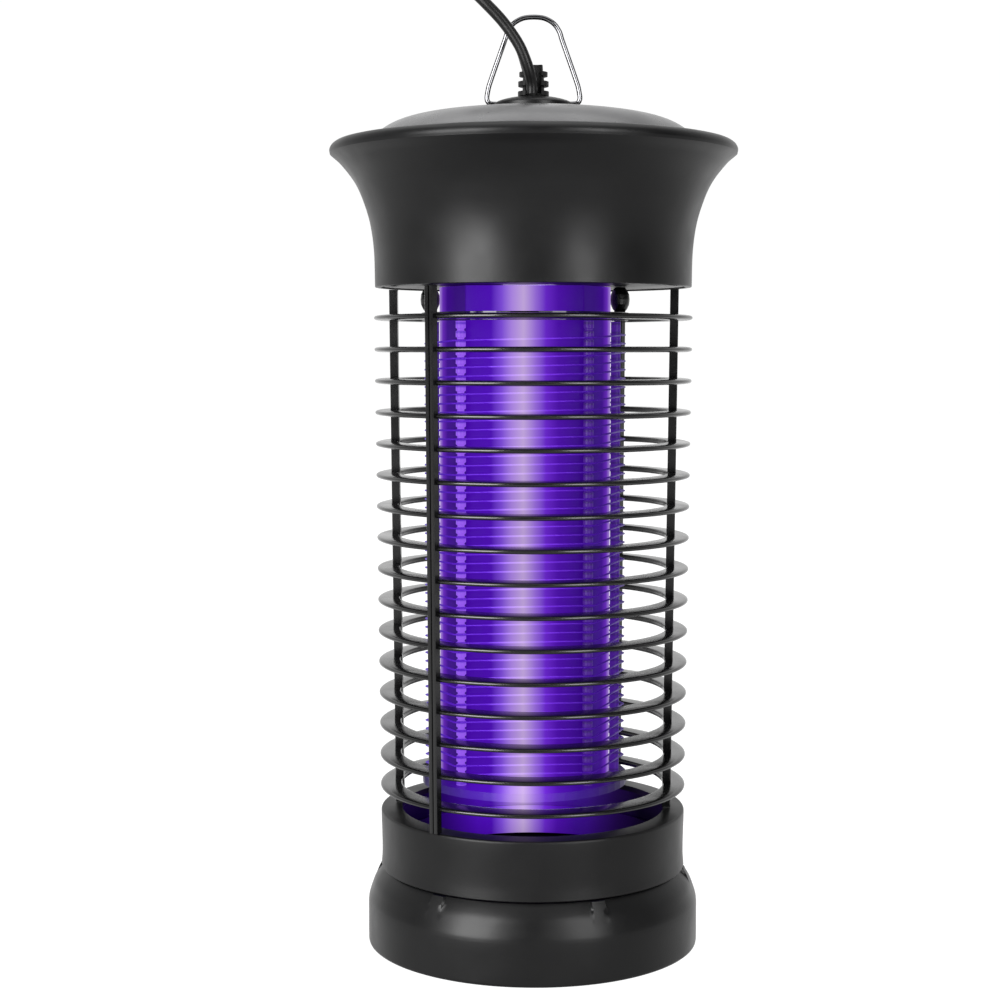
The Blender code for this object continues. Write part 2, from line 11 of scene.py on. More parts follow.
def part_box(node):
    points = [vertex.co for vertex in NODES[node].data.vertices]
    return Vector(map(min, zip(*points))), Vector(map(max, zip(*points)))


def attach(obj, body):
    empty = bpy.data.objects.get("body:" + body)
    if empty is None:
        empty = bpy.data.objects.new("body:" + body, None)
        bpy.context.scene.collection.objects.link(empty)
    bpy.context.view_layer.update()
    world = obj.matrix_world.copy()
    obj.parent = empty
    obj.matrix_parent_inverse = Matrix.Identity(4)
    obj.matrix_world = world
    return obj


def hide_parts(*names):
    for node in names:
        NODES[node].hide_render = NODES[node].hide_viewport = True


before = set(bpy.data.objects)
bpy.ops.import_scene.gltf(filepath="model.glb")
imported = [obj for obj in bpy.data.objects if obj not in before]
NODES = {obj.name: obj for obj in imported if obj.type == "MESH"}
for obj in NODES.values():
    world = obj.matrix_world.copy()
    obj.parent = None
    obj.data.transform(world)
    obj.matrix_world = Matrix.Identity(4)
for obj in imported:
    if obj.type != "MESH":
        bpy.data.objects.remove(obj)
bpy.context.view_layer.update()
MM = 0.001

# Driving sizes, most of them read from the frame
CAP_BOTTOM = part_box("cap_shell")[0].z
COLLAR_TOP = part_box("base_collar")[1].z
BAIL_R = 0.9 * MM
PIVOT_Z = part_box("hanger_bail")[0].z + BAIL_R
GUARD_FOOT, GUARD_HEAD = (corner.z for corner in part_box("guard_seam_front"))
GRID_X = (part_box("grid_bottom_ring")[0].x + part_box("grid_bottom_ring")[1].x) / 2
RING_NAMES = sorted(n for n in NODES if n.startswith("guard_ring_"))
SEAM_ANGLES = (-37, 144.5)
SLIM_ANGLES = (-94, 86)
GRID_ANGLES = (-137, -90, -43, 43, 90, 137)
TAB_ANGLES = [24 + 60 * k for k in range(6)]
GRID_POST_CIRCLE = 33.5 * MM
GRID_POST_R = 1.8 * MM
GRID_NOTCH_R = 1.25 * MM
GRID_WIRE_CIRCLE = 36.9 * MM
GRID_WIRE_R = 0.35 * MM
GRID_PITCH = 6.4 * MM
CORD_R = 2.05 * MM
COIL_LOW, COIL_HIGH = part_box("cord_coil")
COIL_CENTRE = (COIL_LOW + COIL_HIGH) / 2
PLUG_LOW, PLUG_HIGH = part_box("plug_body")

# The camera stands level with the upper guard and looks slightly down
CAMERA_DISTANCE = 0.72
CAMERA_HEIGHT = 0.221
CAMERA_LENS = 69.9
CAMERA_PITCH = radians(4.43)
CAMERA_YAW = radians(0.973)

# The appliance hangs clear of the floor, which leaves room for the tray to drop in sight
FLOOR_DROP = 76 * MM


# Materials


class Paint:
    """Builds a material's node tree, one short call for each node."""

    def __init__(self, name):
        self.material = bpy.data.materials.new(name)
        self.material.use_nodes = True
        self.nodes = self.material.node_tree.nodes
        self.links = self.material.node_tree.links
        self.shader = self.nodes["Principled BSDF"]
        self.place = self.nodes.new("ShaderNodeTexCoord").outputs["Object"]

    def set(self, **values):
        for key, value in values.items():
            socket = self.shader.inputs[key.replace("_", " ")]
            socket.default_value = (*value, 1.0) if isinstance(value, tuple) else value

    def link(self, source, socket):
        self.links.new(source, self.shader.inputs[socket])

    def maths(self, operation, a, b=0.0):
        node = self.nodes.new("ShaderNodeMath")
        node.operation = operation
        for slot, value in zip(node.inputs, (a, b)):
            if isinstance(value, (int, float)):
                slot.default_value = value
            else:
                self.links.new(value, slot)
        return node.outputs[0]

    def noise(self, scale, detail=3.0, stretch=(1, 1, 1)):
        mapping = self.nodes.new("ShaderNodeMapping")
        mapping.inputs["Scale"].default_value = stretch
        self.links.new(self.place, mapping.inputs["Vector"])
        node = self.nodes.new("ShaderNodeTexNoise")
        node.inputs["Scale"].default_value = scale
        node.inputs["Detail"].default_value = detail
        self.links.new(mapping.outputs[0], node.inputs["Vector"])
        return node.outputs["Fac"]

    def between(self, factor, low, high, start=0.3, end=0.7):
        node = self.nodes.new("ShaderNodeMapRange")
        node.inputs["From Min"].default_value = start
        node.inputs["From Max"].default_value = end
        node.inputs["To Min"].default_value = low
        node.inputs["To Max"].default_value = high
        self.links.new(factor, node.inputs["Value"])
        return node.outputs["Result"]

    def scaled(self, colour, factor):
        node = self.nodes.new("ShaderNodeVectorMath")
        node.operation = "SCALE"
        self.links.new(colour, node.inputs[0])
        self.links.new(factor, node.inputs["Scale"])
        return node.outputs[0]

    def mixed(self, factor, a, b):
        """Goes from colour a to colour b, where a may be a plain colour."""
        node = self.nodes.new("ShaderNodeMix")
        node.data_type = "RGBA"
        slot_a, slot_b = node.inputs[6], node.inputs[7]
        self.links.new(factor, node.inputs[0])
        if isinstance(a, tuple):
            slot_a.default_value = (*a, 1.0)
        else:
            self.links.new(a, slot_a)
        self.links.new(b, slot_b)
        return node.outputs[2]

    def ramp(self, factor, stops, smooth=False):
        node = self.nodes.new("ShaderNodeValToRGB")
        if smooth:
            node.color_ramp.interpolation = "EASE"
        elements = node.color_ramp.elements
        while len(elements) < len(stops):
            elements.new(0.5)
        for element, (place, colour) in zip(elements, stops):
            element.position = place
            element.color = (*colour, 1.0)
        self.links.new(factor, node.inputs["Fac"])
        return node.outputs["Color"]

    def bump(self, height, distance):
        node = self.nodes.new("ShaderNodeBump")
        node.inputs["Distance"].default_value = distance
        node.inputs["Strength"].default_value = 1.0
        self.links.new(height, node.inputs["Height"])
        self.link(node.outputs["Normal"], "Normal")

    def places(self):
        """The point's x, y and z, and its distance from the object's upright axis."""
        split = self.nodes.new("ShaderNodeSeparateXYZ")
        self.links.new(self.place, split.inputs[0])
        x, y, z = split.outputs
        squares = self.maths("ADD", self.maths("MULTIPLY", x, x), self.maths("MULTIPLY", y, y))
        return x, y, z, self.maths("SQRT", squares)


def plastic(name, dark, light, roughness, grain=1400, depth=0.02, specular=0.15):
    """Moulded plastic: fine spark grain, faint cloudy colour and rubbed, shinier patches."""
    p = Paint(name)
    p.set(Specular_IOR_Level=specular)
    cloud = p.noise(35, 5)
    p.link(p.ramp(cloud, [(0.3, dark), (0.7, light)]), "Base Color")
    p.link(p.between(p.noise(60, 6), roughness - 0.05, roughness + 0.06), "Roughness")
    p.bump(p.noise(grain, 2), depth * MM)
    return p


def metal(name, colour, roughness, edge=1.0):
    """Drawn or stamped metal: fine lines along Z, slight tarnish. A low edge dims glancing gloss."""
    p = Paint(name)
    p.set(Metallic=1.0, Specular_Tint=(edge, edge, edge))
    dull = tuple(c * 0.8 for c in colour)
    p.link(p.ramp(p.noise(220, 4), [(0.35, dull), (0.65, colour)]), "Base Color")
    p.link(p.between(p.noise(300, 2, (1, 1, 0.2)), roughness * 0.8, roughness * 1.25), "Roughness")
    p.bump(p.noise(700, 1, (1, 1, 0.1)), 0.001 * MM)
    return p


# Painted glow: colours of the violet parts lit by the lamp, at places in mm from left to right across
# the lamp
GLOW_HALF = 34 * MM
GLOW_STOPS = [
    (-31, (0.053, 0.003, 0.35)),
    (-15, (0.078, 0.003, 0.50)),
    (-11.2, (0.23, 0.08, 0.76)),
    (-7.6, (0.45, 0.26, 0.84)),
    (-3.4, (0.60, 0.43, 0.80)),
    (1.0, (0.33, 0.16, 0.75)),
    (4.6, (0.15, 0.022, 0.64)),
    (9, (0.075, 0.004, 0.42)),
    (16, (0.04, 0.002, 0.26)),
    (24, (0.03, 0.002, 0.17)),
    (31, (0.021, 0.002, 0.105)),
]


def fade_sides(p, x, colour):
    """Darkens the lit colour towards the far left and right, away from the tubes."""
    return p.scaled(colour, p.between(p.maths("ABSOLUTE", x), 1.0, 0.06, 22 * MM, 42 * MM))


def glow_colour(p, x, scale=1.0):
    """The lamp's light across X: a bright band where a tube stands, deep violet beside it."""
    across = p.between(x, 0.0, 1.0, -GLOW_HALF * scale, GLOW_HALF * scale)
    half = GLOW_HALF / MM
    return p.ramp(across, [((s + half) / (2 * half), c) for s, c in GLOW_STOPS])


def violet_shade():
    """Translucent violet plastic; the twin tubes' light from inside it is painted on as emitted colour.
    """
    p = Paint("violet_shade")
    p.set(Base_Color=(0.003, 0.0, 0.01), Roughness=0.45, Specular_IOR_Level=0.03)
    p.set(Emission_Strength=0.86)
    x, y, _, _ = p.places()
    cloudy = p.noise(30, 3, (1, 1, 0.3))
    # Painted glow on the side faces: a bright band level with the tubes, deep violet towards the corners
    edge, deep, near = (0.035, 0.002, 0.21), (0.05, 0.004, 0.28), (0.15, 0.03, 0.52)
    half = [(0.15, edge), (0.32, deep), (0.42, near)]
    stops = half + [(0.5, (0.5, 0.33, 0.8))] + [(1 - place, c) for place, c in reversed(half)]
    side = p.ramp(p.between(y, 0.0, 1.0, -20 * MM, 20 * MM), stops)
    # The front face takes the painted glow band across X
    front = p.between(p.maths("ABSOLUTE", y), 0.0, 1.0, 22.0 * MM, 22.9 * MM)
    colour = p.mixed(front, side, glow_colour(p, x))
    p.link(p.scaled(colour, p.between(cloudy, 0.88, 1.08)), "Emission Color")
    p.bump(p.noise(300, 2), 0.02 * MM)
    return p.material


def painted_glow_inside(name, outer_colour, roughness, inner_radius, top, scale):
    """Black plastic whose inner walls carry the lamp's violet light, painted on as emitted colour."""
    p = plastic(name, *outer_colour, roughness)
    x, _, z, r = p.places()
    inside = p.maths("LESS_THAN", r, inner_radius)
    below = p.maths("LESS_THAN", z, top)
    mask = p.maths("MULTIPLY", inside, below)
    # The painted glow fades towards the bottom of the inner walls
    fade = p.between(z, 0.35, 1.0, top - 22 * MM, top - 2 * MM)
    level = p.maths("MULTIPLY", mask, fade)
    lit = fade_sides(p, x, glow_colour(p, x, scale))
    p.link(p.mixed(level, (0.0, 0.0, 0.0), lit), "Emission Color")
    p.set(Emission_Strength=1.0)
    return p.material


def grid_post_look(name, low, high):
    """A post with the lamp's light painted on as emitted colour, and painted shade at the comb's
    notches.
    """
    p = Paint(name)
    p.set(Base_Color=(0.01, 0.003, 0.03), Roughness=0.4, Specular_IOR_Level=0.1)
    p.set(Emission_Strength=0.9)
    z = p.places()[2]
    notch = p.maths("FRACT", p.maths("DIVIDE", z, GRID_PITCH / 2))
    p.link(p.ramp(notch, [(0.0, low), (0.25, high), (0.75, high), (1.0, low)], True), "Emission Color")
    p.bump(p.noise(500, 2), 0.02 * MM)
    return p.material


def make_looks():
    black = ((0.0009, 0.0009, 0.0010), (0.0020, 0.0020, 0.0021))
    grey = ((0.036, 0.036, 0.037), (0.058, 0.058, 0.059))
    soft_black = ((0.003, 0.003, 0.003), (0.006, 0.006, 0.006))
    cord_black = ((0.002, 0.002, 0.002), (0.004, 0.004, 0.004))
    white = ((0.72, 0.72, 0.69), (0.82, 0.82, 0.79))
    collar_glow_top = COLLAR_TOP - 2.1 * MM
    looks = {
        "cap": plastic("cap_black", *black, 0.36, 1600, 0.012).material,
        "lid": plastic("lid_grey", *grey, 0.3, 900, 0.01, 0.4).material,
        "guard": plastic("guard_black", *black, 0.2, 900, 0.008, 0.35).material,
        "rubber": plastic("rubber_black", *soft_black, 0.5, 700, 0.03).material,
        "cord": plastic("cord_black", *cord_black, 0.34, 500, 0.015).material,
        "white": plastic("lamp_white", *white, 0.4).material,
        # Painted glow on the inner walls of the collar and tray, and over the grid's bottom ring
        "collar": painted_glow_inside("collar_black_painted_glow", black, 0.38, 55.3 * MM, collar_glow_top, 1.09),
        "tray": painted_glow_inside("tray_black_painted_glow", black, 0.36, 50.2 * MM, 39 * MM, 1.09),
        "ring_painted_glow": painted_glow_inside("ring_painted_glow", black, 0.4, 60 * MM, 64 * MM, 1.0),
        "chrome": metal("chrome_wire", (0.13, 0.13, 0.135), 0.13, edge=0.2).material,
        "brass": metal("blade_brass", (0.80, 0.62, 0.32), 0.25).material,
        "shade": violet_shade(),
        # Lit and shaded copies of the posts' painted glow
        "post_painted_lit": grid_post_look("post_painted_lit", (0.12, 0.03, 0.6), (0.30, 0.10, 0.86)),
        "post_painted_shaded": grid_post_look("post_painted_shaded", (0.03, 0.008, 0.13), (0.055, 0.01, 0.23)),
    }
    # The grid wires carry the lamp's light as painted glow across X
    wire = metal("grid_wire", (0.04, 0.015, 0.12), 0.4)
    x = wire.places()[0]
    wire.link(glow_colour(wire, x, 1.09), "Emission Color")
    wire.set(Emission_Strength=1.0)
    looks["wire"] = wire.material
    lamp = Paint("lamp_glass")
    lamp.set(Base_Color=(0.6, 0.5, 0.9), Roughness=0.1, Emission_Strength=1.6)
    coat = lamp.ramp(lamp.noise(60, 3), [(0.3, (0.55, 0.40, 0.95)), (0.7, (0.70, 0.56, 1.0))])
    lamp.link(coat, "Emission Color")
    looks["lamp"] = lamp.material
    looks["board"] = plastic("board_green", (0.01, 0.10, 0.04), (0.02, 0.18, 0.07), 0.4).material
    looks["core"] = plastic("core_varnish", (0.35, 0.22, 0.05), (0.5, 0.36, 0.10), 0.45).material
    looks["can"] = plastic("can_sleeve", (0.02, 0.03, 0.16), (0.04, 0.06, 0.24), 0.3).material
    return looks


# Mesh tools


def polar(radius, degrees_from_front):
    """The x and y of a place round the upright axis; positive angles turn from the front to +X."""
    a = radians(degrees_from_front)
    return radius * sin(a), -radius * cos(a)


def smooth_run(points, steps):
    """Points along a smooth curve through the given ones."""
    route = [Vector(p) for p in points]
    made = []
    for i in range(len(route) - 1):
        before, after = route[max(i - 1, 0)], route[min(i + 2, len(route) - 1)]
        a, b = route[i], route[i + 1]
        reach = (b - a).length / 3
        lead = (b - before).normalized() * reach
        tail = (after - a).normalized() * reach
        made += list(interpolate_bezier(a, a + lead, b - tail, b, steps + 1))[:-1]
    made.append(route[-1])
    return made


def flat_run(points, steps):
    """A smooth run of a section's (r, z) points, given in millimetres."""
    return [(p.x * MM, p.y * MM) for p in smooth_run([(r, z, 0) for r, z in points], steps)]


def finish(name, shape, look, nodes, body="housing", sharp=35):
    """Makes a shown piece of the mesh, riding on a body in place of CAD nodes."""
    bmesh.ops.recalc_face_normals(shape, faces=shape.faces)
    mesh = bpy.data.meshes.new(name)
    shape.to_mesh(mesh)
    shape.free()
    mesh.shade_smooth()
    mesh.set_sharp_from_angle(angle=radians(sharp))
    mesh.materials.append(look)
    piece = bpy.data.objects.new(name, mesh)
    bpy.context.scene.collection.objects.link(piece)
    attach(piece, body)
    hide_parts(*nodes)
    return piece


def join_loops(shape, a, b):
    """Adds the faces between two closed loops with as many vertices."""
    for i in range(len(a)):
        j = (i + 1) % len(a)
        shape.faces.new([a[i], a[j], b[j], b[i]])


def turned(section, angles):
    """A mesh turned from section(angle), a closed list of (r, z)."""
    shape = bmesh.new()
    columns = []
    for angle in angles:
        column = []
        for r, z in section(angle):
            x, y = polar(max(r, 0.01 * MM), angle)
            column.append(shape.verts.new((x, y, z)))
        columns.append(column)
    for k, column in enumerate(columns):
        join_loops(shape, column, columns[(k + 1) % len(columns)])
    return shape


def round_piece(name, section, look, nodes, segments):
    angles = [360 * k / segments for k in range(segments)]
    return finish(name, turned(lambda angle: section, angles), look, nodes)


def curve_tube(name, points, radius, look, resolution=6):
    curve = bpy.data.curves.new(name, "CURVE")
    curve.dimensions = "3D"
    curve.bevel_depth = radius
    curve.bevel_resolution = resolution
    curve.use_fill_caps = True
    spline = curve.splines.new("POLY")
    spline.points.add(len(points) - 1)
    for slot, point in zip(spline.points, points):
        slot.co = (*point, 1.0)
    curve.materials.append(look)
    piece = bpy.data.objects.new(name, curve)
    bpy.context.scene.collection.objects.link(piece)
    return piece


# The lead


def make_cord(looks):
    route = [
        (-0.5, -4.7, 313.9),
        (-0.6, -5.2, 317.2),
        (-1.5, -7.1, 321.4),
        (-2.9, -8.1, 325.4),
        (-5.0, -8.5, 330.2),
        (-8.2, -8.6, 335.2),
        (-12.2, -8.5, 340.3),
        (-18.6, -8.2, 346.9),
        (-26.0, -6.5, 354.5),
        (-32.0, -0.5, 362.0),
        (-35.0, 9.0, 365.0),
        (-32.5, 19.0, 363.0),
        (-27.2, 25.5, 359.6),
        (-19.6, 28.5, 353.3),
        (-12.9, 31.0, 346.9),
        (-8.7, 34.0, 342.0),
        (-5.3, 38.0, 337.2),
        (-3.2, 43.0, 331.8),
        (-1.7, 49.0, 326.4),
        (-0.9, 55.0, 321.6),
        (-0.6, 62.5, 315.8),
        (-0.8, 69.5, 309.0),
        (-1.3, 75.2, 301.5),
        (-2.0, 79.2, 293.0),
        (-3.0, 81.2, 283.0),
        (-5.0, 82.0, 268.0),
        (-14.0, 82.0, 200.0),
        (-25.0, 82.0, 125.0),
        (-32.5, 82.0, 60.0),
        (-34.8, 82.6, 35.0),
        (-35.6, 84.6, 20.0),
        (-35.8, 89.6, 9.0),
        (-35.7, 95.5, 3.6),
        (-35.5, 101.2, 2.2),
    ]
    points = [Vector(p) * MM for p in route]
    # The coil winds in level with the foot, climbs over one turn and winds out again on top
    pitch = 4.3 * MM
    outer = 29.45 * MM
    low, high = 2.1 * MM, 6.45 * MM
    turns_in, turns_over, turns_out = 3.0, 1.0, 3.25
    total = turns_in + turns_over + turns_out
    steps = 36
    first = 3  # The coil's start, which the route's last point leads into
    for k in range(first, int(total * steps) + 1):
        turn = k / steps
        if turn <= turns_in:
            r, z = outer - pitch * turn, low
        elif turn <= turns_in + turns_over:
            share = (turn - turns_in) / turns_over
            r, z = outer - pitch * turns_in, low + (high - low) * (3 * share**2 - 2 * share**3)
        else:
            spread = min(turn - turns_in - turns_over, turns_in)
            r, z = outer - pitch * (turns_in - spread), high
        a = pi - 2 * pi * turn
        points.append(Vector((COIL_CENTRE.x + r * cos(a), COIL_CENTRE.y + r * sin(a), z)))
    points.append(Vector((PLUG_LOW.x - 2 * MM, (PLUG_LOW.y + PLUG_HIGH.y) / 2, high)))
    points.append(Vector((PLUG_LOW.x + 3 * MM, (PLUG_LOW.y + PLUG_HIGH.y) / 2, high)))
    dense = smooth_run(points, 3)
    cord = curve_tube("lead", dense, CORD_R, looks["cord"], 5)
    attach(cord, "housing")
    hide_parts("power_cord", "cord_coil")


# The cap


def make_cap(looks):
    side = [(58.2, 244.0), (58.5, 256.5), (59.6, 265.5), (61.5, 272.7), (65.1, 281.3)]
    flare = flat_run(side + [(70.6, 288.6), (74.4, 292.0)], 7)
    bead = flat_run([(74.4, 292.0), (74.6, 293.4), (73.9, 294.9), (72.4, 296.0), (71.0, 296.4)], 4)
    inner = flat_run([(67.6, 289.6), (62.8, 282.2), (58.6, 271.6), (56.3, 258.2), (56.0, 246.0)], 4)
    foot = [(56.0 * MM, CAP_BOTTOM), (57.6 * MM, CAP_BOTTOM), (58.05 * MM, CAP_BOTTOM + 0.1 * MM)]
    shelf = [(61.3, 295.3), (61.1, 293.7), (58.6, 293.7), (58.6, 291.9), (66.5, 291.7)]
    seat = [(r * MM, z * MM) for r, z in shelf]
    section = flare + bead[1:] + seat + inner + foot
    round_piece("cap_shell_smooth", section, looks["cap"], ["cap_shell"], 256)

    def height(r):
        share = r / 62.0
        return 308.5 - 6.0 * share**2 - 9.0 * share**10

    hole, rim, steps, thickness = 14.9, 60.2, 30, 2.0
    reaches = [hole + (rim - hole) * k / steps for k in range(steps + 1)]
    top = [(r * MM, height(r) * MM) for r in reaches]
    edge = flat_run([(rim, height(rim)), (60.7, 295.5), (60.8, 294.0)], 3)
    under = [(r * MM, (height(r) - thickness) * MM) for r in (56, 45, 26, hole)]
    section = top + edge[1:] + [(58.6 * MM, 294.0 * MM)] + under
    round_piece("cap_lid_smooth", section, looks["lid"], ["cap_lid"], 256)

    boss = flat_run([(14.6, 309.9), (14.4, 310.6), (12.8, 311.5), (9.0, 312.5), (4.7, 313.0)], 4)
    section = [(14.6 * MM, 304.0 * MM)] + boss + [(4.7 * MM, 304.0 * MM)]
    round_piece("hanger_boss_smooth", section, looks["cap"], ["hanger_boss"], 96)


def make_bail(looks):
    half = [(-9.8, 0.0), (-15.1, 0.0), (-16.4, 0.5), (-17.0, 1.8), (-16.8, 3.9), (-16.1, 7.0)]
    half += [(-10.3, 23.4), (-9.5, 25.9), (-7.5, 28.8), (-4.6, 30.6), (-1.9, 31.2)]
    path = half + [(-x, z) for x, z in reversed(half)]
    points = smooth_run([(x * MM, 0.0, PIVOT_Z + z * MM) for x, z in path], 6)
    bail = curve_tube("bail_wire", points, BAIL_R, looks["chrome"])
    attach(bail, "bail")
    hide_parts("hanger_bail")


# The guard


def add_bar(shape, angle, shift, width, inside, outside):
    """Adds an upright bar with softened outer corners, on a guard slightly narrower at its foot."""
    out = Vector((*polar(1, angle), 0))
    side = Vector((*polar(1, angle + 90), 0))
    soft_edge = 0.35 * MM
    foot_r, head_r = 56.85 * MM, 58.7 * MM
    corners = (
        (inside, -0.5, 0, 0),
        (outside, -0.5, -1, 0),
        (outside, -0.5, 0, 1),
        (outside, 0.5, 0, -1),
        (outside, 0.5, -1, 0),
        (inside, 0.5, 0, 0),
    )
    loops = []
    for z, r in ((GUARD_FOOT, foot_r), (GUARD_HEAD, head_r)):
        loop = []
        for reach, across, soft_out, soft_side in corners:
            place = out * (r + reach + soft_out * soft_edge)
            place += side * (shift + width * across + soft_side * soft_edge)
            loop.append(shape.verts.new(place + Vector((0, 0, z))))
        loops.append(loop)
        shape.faces.new(loop)
    join_loops(shape, *loops)


def make_guard(looks):
    # Upper half of a ring's section, from its inner edge to its thin outer edge
    half = [(-8.0, 0.5), (-7.9, 0.8), (-7.6, 1.0), (-7.1, 1.05), (-3.6, 1.05), (-2.2, 0.98)]
    half += [(-1.1, 0.84), (-0.45, 0.66), (-0.12, 0.42), (0.0, 0.15)]
    profile = half + [(r, -z) for r, z in reversed(half)]
    for name in RING_NAMES:
        low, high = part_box(name)
        middle = (low.z + high.z) / 2
        section = [(high.x + r * MM, middle + z * MM) for r, z in profile]
        round_piece(name + "_smooth", section, looks["guard"], [name], 180)

    for name, angle in zip(("guard_seam_front", "guard_seam_rear"), SEAM_ANGLES):
        shape = bmesh.new()
        for shift in (-1.0 * MM, 1.0 * MM):
            add_bar(shape, angle, shift, 1.6 * MM, -1.2 * MM, 1.6 * MM)
        add_bar(shape, angle, 0, 0.6 * MM, -1.0 * MM, 0.9 * MM)
        finish(name + "_pair", shape, looks["guard"], [name], sharp=25)
    for name, angle in zip(("guard_post_left", "guard_post_right"), SLIM_ANGLES):
        shape = bmesh.new()
        add_bar(shape, angle, 0, 2.6 * MM, -8.3 * MM, -5.2 * MM)
        finish(name + "_bar", shape, looks["guard"], [name], sharp=25)


# The grid and the shade


def make_grid_posts(looks):
    low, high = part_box("grid_post_1")
    sides = 20
    teeth = int((high.z - low.z) / (GRID_PITCH / 2))
    shares = (0.0, 0.3, 0.42, 0.58, 0.7)
    levels = [low.z + GRID_PITCH / 2 * (k + share) for k in range(teeth) for share in shares]
    levels.append(high.z)
    for n, angle in enumerate(GRID_ANGLES, 1):
        plain = n in (2, 5)
        cx, cy = polar(GRID_POST_CIRCLE, angle)
        shape = bmesh.new()
        rings = []
        for k, z in enumerate(levels):
            r = GRID_POST_R if plain or k % 5 in (0, 1, 4) else GRID_NOTCH_R
            ring = []
            for i in range(sides):
                a = 2 * pi * i / sides
                ring.append(shape.verts.new((GRID_X + cx + r * cos(a), cy + r * sin(a), z)))
            rings.append(ring)
        for below, above in zip(rings, rings[1:]):
            join_loops(shape, below, above)
        shape.faces.new(rings[0])
        shape.faces.new(rings[-1])
        # Posts 1 and 3 take the painted lit copy, the others the painted shaded copy
        look = looks["post_painted_lit" if n in (1, 3) else "post_painted_shaded"]
        finish(f"grid_post_{n}_comb", shape, look, [f"grid_post_{n}"])


def make_shade(looks):
    """A six-sided tube whose rounded corners stand beside the grid posts."""
    low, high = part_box("lamp_shade")
    wall = 1.64
    shape = bmesh.new()
    loops = []
    for shrink in (0.0, wall):
        for z in (low.z, high.z):
            loop = []
            for angle in GRID_ANGLES:
                corner = (31.55 if abs(angle) == 90 else 30.9) - shrink
                for turn in (-1.0, -0.35, 0.35, 1.0):
                    x, y = polar((corner - 0.1 * turn * turn) * MM, angle + turn)
                    loop.append(shape.verts.new((GRID_X + x, y, z)))
            loops.append(loop)
    for a, b in ((0, 1), (2, 3), (0, 2), (1, 3)):
        join_loops(shape, loops[a], loops[b])
    finish("lamp_shade_hex", shape, looks["shade"], ["lamp_shade"], sharp=50)


def make_grid_wires(looks):
    """Two wires wound round the six posts, one corner after the other."""
    for name in ("grid_wire_live", "grid_wire_neutral"):
        low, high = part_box(name)
        corners = int(6 * (high.z - low.z - 0.8 * MM) / GRID_PITCH)
        points = []
        for k in range(corners + 1):
            x, y = polar(GRID_WIRE_CIRCLE, GRID_ANGLES[k % 6])
            points.append((GRID_X + x, y, low.z + 0.4 * MM + GRID_PITCH * k / 6))
        wire = curve_tube(name + "_smooth", points, GRID_WIRE_R, looks["wire"], 2)
        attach(wire, "housing")
        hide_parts(name)


# The base


def make_collar(looks):
    outer = [(55.8, 50.4), (56.5, 50.1), (56.7, 49.2), (56.5, 42.0), (56.4, 34.0), (56.7, 29.2)]
    inner = [(56.5, 28.9), (54.4, 28.9), (54.4, 30.3), (51.9, 30.4), (51.9, 32.3), (54.4, 32.4)]
    inner += [(54.4, 48.2), (48.9, 48.2), (48.9, 50.4)]
    section = flat_run(outer, 4) + [(r * MM, z * MM) for r, z in inner]
    round_piece("base_collar_smooth", section, looks["collar"], ["base_collar"], 240)


def make_tray(looks):
    tab_half, tab_ramp = 2.5, 0.5

    def tray(angle):
        away = min(abs((angle - p + 180) % 360 - 180) for p in TAB_ANGLES)
        full = max(0.0, 1.0 - max(0.0, away - tab_half) / tab_ramp)
        top = 55.5 + 1.4 * full
        upper = 57.3 + 0.7 * full
        wall = flat_run([(60.8, 0.0), (61.45, 0.4), (61.6, 1.4), (61.6, 8.0), (61.6, 15.2)], 2)
        cone = [(61.6, 15.2), (61.35, 17.2), (60.4, 20.2), (59.2, 23.2), (upper, 26.0), (top, 28.2)]
        inside = [(51.2, 28.2), (51.2, 38.0), (49.2, 38.2), (49.2, 27.4), (55.6, 24.6), (59, 16)]
        inside += [(59, 6), (56, 3.3), (0, 3.3), (0, 1.5), (56.5, 1.5), (57.3, 0.0)]
        return wall + flat_run(cone, 4)[1:] + [(r * MM, z * MM) for r, z in inside]

    edges = (-tab_half - tab_ramp, -tab_half, tab_half, tab_half + tab_ramp)
    angles = {round(360 * k / 216, 2) for k in range(216)}
    angles |= {round((p + d) % 360, 2) for p in TAB_ANGLES for d in edges}
    shape = turned(tray, sorted(angles))
    finish("insect_tray_smooth", shape, looks["tray"], ["insect_tray"], body="tray", sharp=40)


def dress_nodes(looks):
    """Gives the CAD nodes that stay on show their finished materials."""
    wanted = {
        "strain_relief": "rubber",
        "cap_floor": "cap",
        "circuit_board": "board",
        "transformer": "core",
        "capacitor": "can",
        "lamp_holder": "white",
        "lamp_base": "white",
        "lamp_pin_left": "brass",
        "lamp_pin_right": "brass",
        "lamp_tube": "lamp",
        "grid_top_ring": "guard",
        "grid_bottom_ring": "ring_painted_glow",
        "grid_standoff_left": "guard",
        "grid_standoff_right": "guard",
        "tray_gasket": "rubber",
        "plug_body": "rubber",
        "plug_blade_left": "brass",
        "plug_blade_right": "brass",
    }
    for node, look in wanted.items():
        mesh = NODES[node].data
        mesh.materials.clear()
        mesh.materials.append(looks[look])


# The studio


def make_camera():
    camera = bpy.data.objects.new("camera", bpy.data.cameras.new("camera"))
    camera.location = (0.0, -CAMERA_DISTANCE, CAMERA_HEIGHT)
    camera.rotation_euler = (pi / 2 - CAMERA_PITCH, 0, CAMERA_YAW)
    camera.data.lens = CAMERA_LENS
    camera.data.clip_start = 0.05
    camera.data.clip_end = 30
    bpy.context.scene.collection.objects.link(camera)
    bpy.context.scene.camera = camera


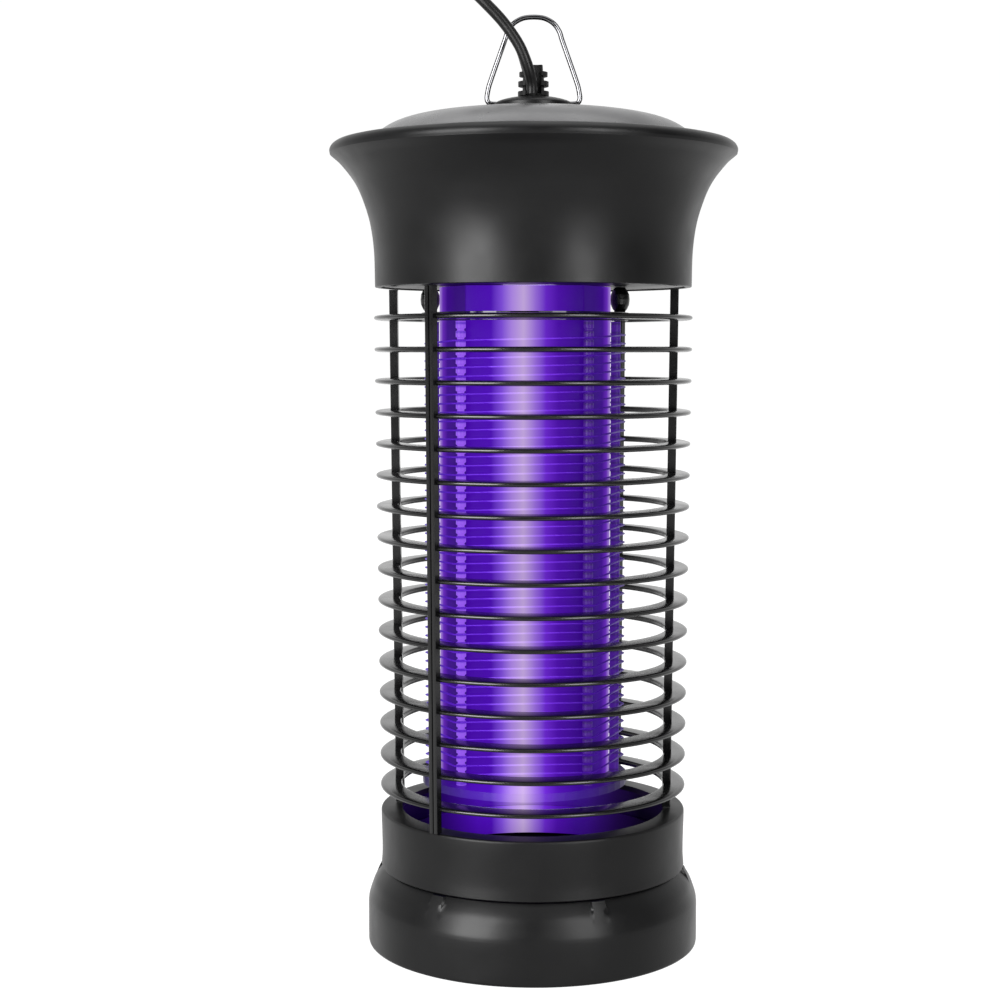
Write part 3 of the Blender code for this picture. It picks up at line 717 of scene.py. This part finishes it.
def make_floor():
    shape = bmesh.new()
    bmesh.ops.create_grid(shape, x_segments=1, y_segments=1, size=8)
    mesh = bpy.data.meshes.new("floor")
    shape.to_mesh(mesh)
    shape.free()
    floor = bpy.data.objects.new("floor", mesh)
    floor.location.z = -FLOOR_DROP
    bpy.context.scene.collection.objects.link(floor)
    p = Paint("floor_white")
    p.set(Roughness=0.8, Specular_IOR_Level=0.1, Emission_Color=(1.0, 1.0, 1.0))
    tones = [(0.3, (0.115, 0.115, 0.115)), (0.7, (0.12, 0.12, 0.12))]
    p.link(p.ramp(p.noise(8, 2), tones), "Base Color")
    r = p.places()[3]
    p.link(p.between(r, 0.86, 1.02, 0.10, 0.6), "Emission Strength")
    mesh.materials.append(p.material)


def make_world():
    """White all round to the eye, while its light is dim from the front and full from behind."""
    world = bpy.data.worlds.new("studio")
    bpy.context.scene.world = world
    world.use_nodes = True
    nodes, links = world.node_tree.nodes, world.node_tree.links
    place = nodes.new("ShaderNodeTexCoord").outputs["Generated"]
    split = nodes.new("ShaderNodeSeparateXYZ")
    links.new(place, split.inputs[0])
    spread = nodes.new("ShaderNodeMapRange")
    spread.interpolation_type = "SMOOTHSTEP"
    spread.inputs["From Min"].default_value = -0.6
    spread.inputs["From Max"].default_value = 0.8
    spread.inputs["To Min"].default_value = 0.04
    spread.inputs["To Max"].default_value = 1.02
    links.new(split.outputs["Y"], spread.inputs["Value"])
    seen = nodes.new("ShaderNodeMath")
    seen.operation = "MAXIMUM"
    links.new(nodes.new("ShaderNodeLightPath").outputs["Is Camera Ray"], seen.inputs[0])
    links.new(spread.outputs["Result"], seen.inputs[1])
    background = nodes["Background"]
    background.inputs["Color"].default_value = (1, 1, 1, 1)
    links.new(seen.outputs[0], background.inputs["Strength"])


def make_lights():
    for name, place, target, size, power in (
        ("left_strip", (-0.92, -1.04, 0.6), (0, 0, 0.2), (0.8, 1.3), 66),
        ("right_strip", (0.78, -1.12, 0.6), (0, 0, 0.2), (0.5, 1.2), 26),
        ("top_box", (0, -0.1, 1.7), (0, 0, 0), (1.6, 1.6), 16),
    ):
        light = bpy.data.lights.new(name, "AREA")
        light.shape = "RECTANGLE"
        light.size, light.size_y = size
        light.energy = power
        lamp = bpy.data.objects.new(name, light)
        lamp.location = place
        lamp.rotation_mode = "QUATERNION"
        lamp.rotation_quaternion = (Vector(target) - Vector(place)).to_track_quat("-Z", "Y")
        bpy.context.scene.collection.objects.link(lamp)


def build():
    make_camera()
    make_floor()
    make_world()
    make_lights()
    bpy.context.scene.view_settings.view_transform = "Standard"
    looks = make_looks()
    make_cord(looks)
    make_cap(looks)
    make_bail(looks)
    make_guard(looks)
    make_grid_posts(looks)
    make_shade(looks)
    make_grid_wires(looks)
    make_collar(looks)
    make_tray(looks)
    dress_nodes(looks)


build()
